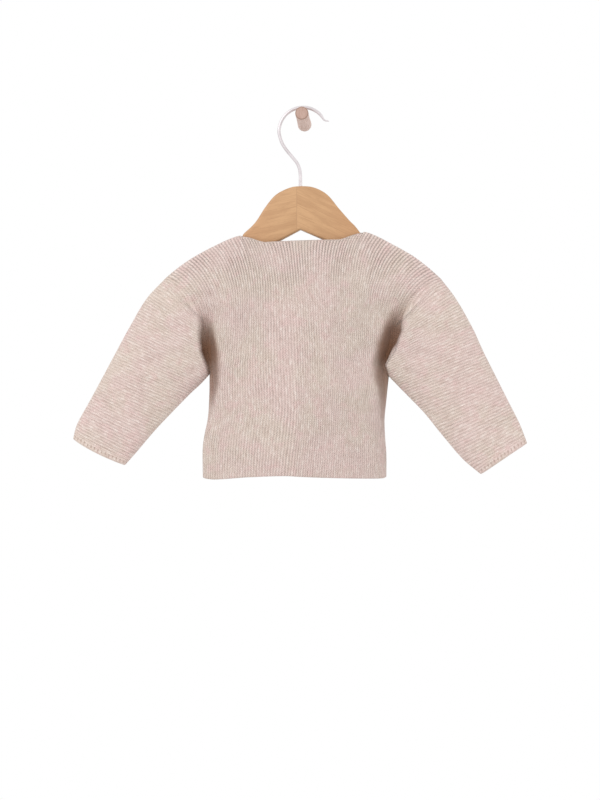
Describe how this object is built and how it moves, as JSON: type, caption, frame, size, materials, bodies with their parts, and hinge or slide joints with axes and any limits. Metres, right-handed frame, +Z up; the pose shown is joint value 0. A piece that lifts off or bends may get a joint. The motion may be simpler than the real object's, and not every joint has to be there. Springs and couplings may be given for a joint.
{
  "type": "baby cardigan on a wooden hanger and wall peg",
  "caption": "Long-sleeved garter-stitch baby cardigan hung back outwards on a small wooden hanger, its wire hook over a round wooden wall peg.",
  "frame": {"origin": "middle of the peg's flat base, where it meets the wall plane y = 0", "axes": "+Y into the wall, +Z up, +X along the cardigan's width, to the right as seen from the room, which looks at the cardigan's back"},
  "size_m": [0.4758, 0.0821, 0.3916],
  "materials": {
    "knit": "heathered beige-pink garter stitch in a soft matt yarn",
    "button": "small plain buttons, softly glossy",
    "hanger_wood": "pale wood with a satin lacquer, grain along each arm",
    "peg_wood": "pale matt wood with end grain on its end",
    "wire": "pale satin coated wire"
  },
  "bodies": {
    "root": {"back": "knit", "front_left": "knit", "front_right": "knit", "sleeve_left": "knit", "sleeve_right": "knit", "cuff_left": "knit", "cuff_right": "knit", "button_1": "button", "button_2": "button", "button_3": "button", "button_4": "button", "hanger_wood": "hanger_wood", "hanger_hook": "wire", "wall_peg": "peg_wood"}
  },
  "joints": []
}
